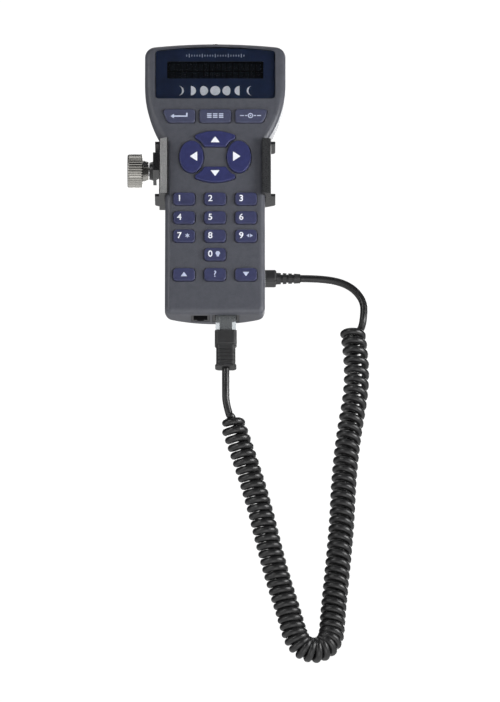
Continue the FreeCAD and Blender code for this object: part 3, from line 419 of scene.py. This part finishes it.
def plate(name, loops, centre, front_y, material, body, thickness=INK_PROUD + INK_SUNK):
    """Flat piece that faces -Y, its front at front_y."""
    mesh = stand_up(flat_mesh(name, loops, thickness), centre[0], front_y + thickness / 2, centre[1])
    return add_piece(name, mesh, material, body)


def circle(radius, x=0.0, y=0.0, steps=40, start=0.0, end=2 * math.pi):
    """Points round a circle or along an arc of one."""
    whole = abs(end - start - 2 * math.pi) < 1e-9
    count = steps if whole else steps + 1
    return [(x + radius * math.cos(start + (end - start) * i / steps),
             y + radius * math.sin(start + (end - start) * i / steps)) for i in range(count)]


def rounded(points, radius, steps=5):
    """Closed loop with each corner of a polygon rounded by an arc-like curve."""
    loop = []
    for before, corner, after in zip([points[-1], *points[:-1]], points, [*points[1:], points[0]]):
        here = Vector(corner)
        enter = here + (Vector(before) - here).normalized() * radius
        leave = here + (Vector(after) - here).normalized() * radius
        for i in range(steps + 1):
            t = i / steps
            spot = enter * (1 - t) ** 2 + here * 2 * t * (1 - t) + leave * t ** 2
            loop.append((spot.x, spot.y))
    return loop


def rectangle(width, height, x=0.0, y=0.0, radius=0.0):
    corners = [(x - width / 2, y - height / 2), (x + width / 2, y - height / 2),
               (x + width / 2, y + height / 2), (x - width / 2, y + height / 2)]
    return rounded(corners, radius) if radius else corners


def turned(loop, angle):
    c, s = math.cos(angle), math.sin(angle)
    return [(c * x - s * y, s * x + c * y) for x, y in loop]


def shifted(loop, dx, dy):
    return [(x + dx, y + dy) for x, y in loop]


def triangle(width, height):
    """Triangle with rounded corners that points up, centred on its box."""
    return rounded([(-width / 2, -height / 2), (width / 2, -height / 2), (0, height / 2)],
                   0.09 * width)


# ---- legends ----
def key_centre(key):
    """Middle of a key's cap in the plane of the face."""
    low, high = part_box(key)
    return (low.x + high.x) / 2, (low.z + high.z) / 2


def digit(key, text, offset_x, material):
    """Printed numeral on a key."""
    curve = bpy.data.curves.new("legend_" + key, "FONT")
    curve.body = text
    curve.size = DIGIT_SIZE
    curve.align_x = "CENTER"
    curve.align_y = "CENTER"
    curve.offset = 0.07 * MM
    curve.extrude = (INK_PROUD + INK_SUNK) / 2
    curve.resolution_u = 6
    x, z = key_centre(key)
    middle_y = KEY_TOP_Y + (INK_SUNK - INK_PROUD) / 2
    mesh = stand_up(curve_mesh("legend_" + key, curve), x + offset_x, middle_y, z)
    add_piece("legend_" + key, mesh, material, key)


def icon(name, key, loops, offset, material):
    """Printed mark on a key."""
    x, z = key_centre(key)
    plate(name, loops, (x + offset[0], z + offset[1]), KEY_TOP_Y - INK_PROUD, material, key)


def star_loop(points, outer, inner):
    loop = []
    for i in range(2 * points):
        radius = outer if i % 2 == 0 else inner
        angle = math.pi / 2 + math.pi * i / points
        loop.append((radius * math.cos(angle), radius * math.sin(angle)))
    return loop


def number_legends(materials):
    """Numerals left of each key's middle, and a small mark beside 7, 9 and 0."""
    ink = materials["ink"]
    for number in range(1, 10):
        digit("key_%d" % number, str(number), -DIGIT_LEFT, ink)
    digit("key_0", "0", -DIGIT_LEFT, ink)
    soft = materials["ink_soft"]
    icon("legend_key_7_star", "key_7", [star_loop(6, 1.5 * MM, 0.7 * MM)], (1.9 * MM, 0), soft)
    arrows = [shifted(turned(triangle(2.2 * MM, 1.6 * MM), math.pi / 2), -1.05 * MM, 0),
              shifted(turned(triangle(2.2 * MM, 1.6 * MM), -math.pi / 2), 1.05 * MM, 0)]
    icon("legend_key_9_range", "key_9", arrows, (2.1 * MM, 0), soft)
    bulb = circle(1.25 * MM, 0, 0.5 * MM, 30, -0.32 * math.pi, 1.32 * math.pi)
    base = [(-0.62 * MM, -1.5 * MM), (0.62 * MM, -1.5 * MM)]
    icon("legend_key_0_lamp", "key_0", [bulb + base], (1.6 * MM, 0), soft)


def control_legends(materials):
    """Triangles of the arrow and scroll keys, and the question mark."""
    ink = materials["ink"]
    up_down = triangle(5.2 * MM, 3.7 * MM)
    sideways = triangle(6.0 * MM, 4.3 * MM)
    icon("legend_key_up", "key_up", [up_down], (0, -0.6 * MM), ink)
    icon("legend_key_down", "key_down", [turned(up_down, math.pi)], (0, 0.6 * MM), ink)
    icon("legend_key_left", "key_left", [turned(sideways, math.pi / 2)], (1.2 * MM, 0), ink)
    icon("legend_key_right", "key_right", [turned(sideways, -math.pi / 2)], (-1.2 * MM, 0), ink)
    small = triangle(3.7 * MM, 2.7 * MM)
    soft = materials["ink_soft"]
    icon("legend_key_scroll_up", "key_scroll_up", [small], (0, 0), soft)
    icon("legend_key_scroll_down", "key_scroll_down", [turned(small, math.pi)], (0, 0), soft)
    digit("key_help", "?", 0, soft)


def function_legends(materials):
    """Return arrow, menu bars and aiming ring on the three keys under the display."""
    soft = materials["ink_soft"]
    bar = 0.75 * MM
    shaft = [(-3.4 * MM, -bar), (4.4 * MM, -bar), (4.4 * MM, 1.7 * MM), (3.6 * MM, 1.7 * MM),
             (3.6 * MM, 0.05 * MM), (-3.4 * MM, 0.05 * MM), (-3.4 * MM, 1.05 * MM),
             (-5.4 * MM, -0.35 * MM), (-3.4 * MM, -1.75 * MM)]
    icon("legend_key_enter", "key_enter", [shaft], (0.4 * MM, 0), soft)
    bars = [rectangle(2.6 * MM, 0.62 * MM, dx * MM, dz * MM, 0.2 * MM)
            for dz in (-1.05, 0.0, 1.05) for dx in (-3.4, 0.0, 3.4)]
    icon("legend_key_mode", "key_mode", bars, (0, 0), soft)
    ring = [circle(1.55 * MM), circle(1.0 * MM)]
    ticks = [rectangle(1.3 * MM, 0.5 * MM, side * 2.5 * MM, 0) for side in (-1, 1)]
    dots = [circle(0.42 * MM, 0, 0, 20)]
    tail = [rectangle(2.2 * MM, 0.5 * MM, side * 4.9 * MM, 0) for side in (-1, 1)]
    icon("legend_key_goto", "key_goto", ring + ticks + dots + tail, (-0.4 * MM, 0), soft)


def moon(radius, phase):
    """Lit part of a moon disc: phase runs from -1 (thin, right) by 0 (full) to 1 (thin, left)."""
    if phase == 0:
        return circle(radius)
    side = -1 if phase > 0 else 1
    outer = circle(radius, 0, 0, 24, -math.pi / 2, math.pi / 2)
    share = 1 - 2 * abs(phase)
    inner = [(-share * x, y) for x, y in reversed(outer)]
    return [(side * x, y) for x, y in outer + inner[1:-1]]


def pane_marks(materials):
    """Print behind the clear pane: dark field with the display's opening, scale and moon phases."""
    inset = 0.35 * MM
    rear_y = PANE_HIGH.y - 0.06 * MM
    middle_z = PANE_LOW.z + 18.1 * MM
    shoulder = PANE_HIGH.z - 2.4 * MM
    half = (PANE_HIGH.x - PANE_LOW.x) / 2 - inset
    rise = PANE_HIGH.z - inset - shoulder
    radius = (half ** 2 + rise ** 2) / (2 * rise)
    reach = math.asin(half / radius)
    crown = [(radius * math.sin(reach - 2 * reach * i / 32),
              PANE_HIGH.z - inset - radius + radius * math.cos(reach - 2 * reach * i / 32))
             for i in range(33)]
    field = [(-half, PANE_LOW.z + inset), (half, PANE_LOW.z + inset)] + crown
    field = [(x, z - middle_z) for x, z in field]
    opening = rectangle(55.4 * MM, 10.7 * MM, 0, 0, 0.6 * MM)
    plate("pane_print", [field, opening], (MIDDLE_X, middle_z), rear_y, materials["pane_print"],
          "handset", 0.04 * MM)
    mark_y = rear_y - 0.03 * MM
    ticks = []
    for i in range(-11, 12):
        tall = 2.2 * MM if i % 5 == 0 else 1.1 * MM
        ticks.append(rectangle(0.55 * MM, tall, i * 1.5 * MM, 0))
    plate("pane_scale", ticks, (MIDDLE_X, PANE_LOW.z + 27.0 * MM), mark_y, materials["ink_dim"],
          "handset", 0.02 * MM)
    phases = (-0.82, -0.5, -0.2, 0, 0.2, 0.5, 0.82)
    for index, phase in enumerate(phases):
        name = "pane_moon_%d" % (index + 1)
        x = MIDDLE_X + (index - 3) * 7.0 * MM
        plate(name, [moon(2.9 * MM, phase)], (x, PANE_LOW.z + 5.2 * MM), mark_y, materials["ink"],
              "handset", 0.02 * MM)
    cells = [rectangle(2.75 * MM, 4.3 * MM, (column - 7.5) * 3.3 * MM, row * 2.55 * MM)
             for column in range(16) for row in (-1, 1)]
    plate("lcd_cells", cells, (MIDDLE_X, middle_z), LCD_FRONT_Y - 0.02 * MM, materials["lcd_cell"],
          "handset", 0.03 * MM)


# ---- cord ----
def nurbs_line(route):
    """Points along the smooth line that a route's points control."""
    curve = bpy.data.curves.new("route", "CURVE")
    curve.dimensions = "3D"
    curve.resolution_u = 32
    spline = curve.splines.new("NURBS")
    spline.points.add(len(route) - 1)
    for point, place in zip(spline.points, route):
        point.co = (*place, 1.0)
    spline.order_u = 3
    spline.use_endpoint_u = True
    holder = bpy.data.objects.new("route", curve)
    mesh = bpy.data.meshes.new_from_object(holder)
    line = np.array([tuple(v.co) for v in mesh.vertices])
    bpy.data.objects.remove(holder)
    bpy.data.curves.remove(curve)
    bpy.data.meshes.remove(mesh)
    return line


def lengths_along(line):
    steps = np.linalg.norm(np.diff(line, axis=0), axis=1)
    return np.concatenate([[0.0], np.cumsum(steps)])


def resampled(line, step):
    """The same line with evenly spaced points."""
    along = lengths_along(line)
    count = max(2, int(round(along[-1] / step)) + 1)
    places = np.linspace(0, along[-1], count)
    return np.column_stack([np.interp(places, along, line[:, axis]) for axis in range(3)])


def tangents(line):
    slopes = np.gradient(line, axis=0)
    return slopes / np.linalg.norm(slopes, axis=1)[:, None]


def carried_frames(line, start):
    """Tangent and two cross directions at each point, carried along without twist."""
    along = tangents(line)
    first = start - along[0] * (start @ along[0])
    side = first / np.linalg.norm(first)
    sides = [side]
    for tangent in along[1:]:
        side = side - tangent * (side @ tangent)
        side = side / np.linalg.norm(side)
        sides.append(side)
    sides = np.array(sides)
    return along, sides, np.cross(along, sides)


def smooth_step(t):
    t = np.clip(t, 0, 1)
    return t * t * (3 - 2 * t)


def coil_line(axis, end_angle):
    """Left-handed helix round the coil's axis; it opens from the axis at the start."""
    along = lengths_along(axis)
    share = np.clip((along - RAMP_BEFORE) / (along[-1] - RAMP_BEFORE), 0, 1)
    pitch = np.interp(share, [s for s, _ in PITCHES], [p * MM for _, p in PITCHES])
    turn = np.concatenate([[0.0], np.cumsum(np.diff(along) / ((pitch[1:] + pitch[:-1]) / 2))])
    angle = -2 * np.pi * turn
    angle += end_angle - angle[-1]
    radius = HELIX_R * smooth_step(along / RAMP)
    _, sides, others = carried_frames(axis, np.array([1.0, 0.0, 0.0]))
    dense = np.linspace(0, turn[-1], int(turn[-1] * POINTS_A_TURN))
    place = np.interp(dense, turn, along)

    def at(values):
        return np.column_stack([np.interp(place, along, values[:, axis_no]) for axis_no in range(3)])

    here = np.interp(place, along, angle)
    size = np.interp(place, along, radius)
    return (at(axis) + at(sides) * (size * np.cos(here))[:, None]
            + at(others) * (size * np.sin(here))[:, None])


def bridge(start, start_slope, end, end_slope, count):
    """Cubic curve between two points with given slopes."""
    t = np.linspace(0, 1, count)[:, None]
    return ((2 * t ** 3 - 3 * t ** 2 + 1) * start + (t ** 3 - 2 * t ** 2 + t) * start_slope
            + (3 * t ** 2 - 2 * t ** 3) * end + (t ** 3 - t ** 2) * end_slope)


def cord_centre_line():
    """The cable's whole centre line: lead, coil and far lead."""
    step = 0.4 * MM
    lead = resampled(nurbs_line(LEAD_ROUTE), step)
    coil_axis = resampled(nurbs_line(COIL_ROUTE), step)
    far = resampled(nurbs_line(FAR_ROUTE), step)
    early = int(round(RAMP_BEFORE / step))
    axis = np.vstack([lead[-early - 1:-1], coil_axis])
    helix = coil_line(axis, END_ANGLE)
    skip = int(round(FAR_SKIP / step))
    slope_in = (helix[-1] - helix[-2]) / np.linalg.norm(helix[-1] - helix[-2])
    slope_out = tangents(far)[skip]
    reach = 1.15 * np.linalg.norm(far[skip] - helix[-1])
    join = bridge(helix[-1], slope_in * reach, far[skip], slope_out * reach, 22)
    return np.vstack([lead[:-early - 1], helix, join[1:-1], far[skip:]])


def tube_mesh(name, line, radius, sides):
    """Closed round tube along a line."""
    _, first, second = carried_frames(line, np.array([1.0, 0.0, 0.1]))
    turn = 2 * np.pi * np.arange(sides) / sides
    rings = (line[:, None, :] + radius * (np.cos(turn)[None, :, None] * first[:, None, :]
                                          + np.sin(turn)[None, :, None] * second[:, None, :]))
    points = rings.reshape(-1, 3).tolist()
    faces = []
    for ring in range(len(line) - 1):
        base = ring * sides
        for i in range(sides):
            j = (i + 1) % sides
            faces.append((base + i, base + j, base + sides + j, base + sides + i))
    last = (len(line) - 1) * sides
    faces.append(tuple(reversed(range(sides))))
    faces.append(tuple(range(last, last + sides)))
    mesh = bpy.data.meshes.new(name)
    mesh.from_pydata(points, [], faces)
    mesh.polygons.foreach_set("use_smooth", [True] * len(mesh.polygons))
    return mesh


PLUG_LENGTH = 21.5 * MM
END_ANGLE = math.radians(235)
FAR_SKIP = 7.5 * MM


def make_cord(materials):
    line = cord_centre_line()
    mesh = tube_mesh("coiled_cord", line, CABLE_D / 2, CABLE_SIDES)
    cord = add_piece("coiled_cord", mesh, materials["cable"], "cord")
    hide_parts("cord_lead", "cord_coil", "cord_far_lead")


def rounded_bar(name, low, high, radius, segments=3):
    """Closed bar between two corners with all its edges rounded."""
    mesh = bpy.data.meshes.new(name)
    work = bmesh.new()
    bmesh.ops.create_cube(work, size=1.0)
    for vertex in work.verts:
        for axis in range(3):
            vertex.co[axis] = low[axis] if vertex.co[axis] < 0 else high[axis]
    bmesh.ops.bevel(work, geom=work.edges[:], offset=radius, segments=segments, affect="EDGES",
                    profile=0.5)
    work.to_mesh(mesh)
    work.free()
    return mesh


def plug_inside(plug, along, across, materials):
    """The cable's sheath and its eight conductors inside a clear plug.

    along is the unit vector from the plug's tail to its nose and across the row of its contacts.
    """
    low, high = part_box(plug)
    middle = (low + high) / 2
    tail = middle - along * (PLUG_LENGTH / 2)
    turn = Matrix((across, along.cross(across) * -1, along)).transposed().to_4x4()
    place = Matrix.Translation(tail) @ turn
    sheath = rounded_bar(plug + "_sheath", (-0.0036, -0.0017, 0.0006), (0.0036, 0.0017, 0.0098), 0.0011)
    sheath.transform(place)
    add_piece(plug + "_sheath", sheath, materials["wire_dark"], "cord")
    for index, (name, _) in enumerate(WIRE_COLOURS):
        x = (index - 3.5) * 1.02 * MM
        half = 0.4 * MM
        wire = rounded_bar(plug + "_wire_" + name, (x - half, -half, 0.0095), (x + half, half, 0.0136),
                           0.25 * MM, 2)
        wire.transform(place)
        add_piece(plug + "_wire_" + name, wire, materials["wire_" + name], "cord")


# ---- build ----
MATERIALS = make_materials()
make_studio()
paint_cad(MATERIALS)
make_cord(MATERIALS)
plug_inside("handset_plug", Vector((0, 0, 1)), Vector((1, 0, 0)), MATERIALS)
plug_inside("far_plug", Vector((-1, 0, 0)), Vector((0, 1, 0)), MATERIALS)
number_legends(MATERIALS)
control_legends(MATERIALS)
function_legends(MATERIALS)
pane_marks(MATERIALS)
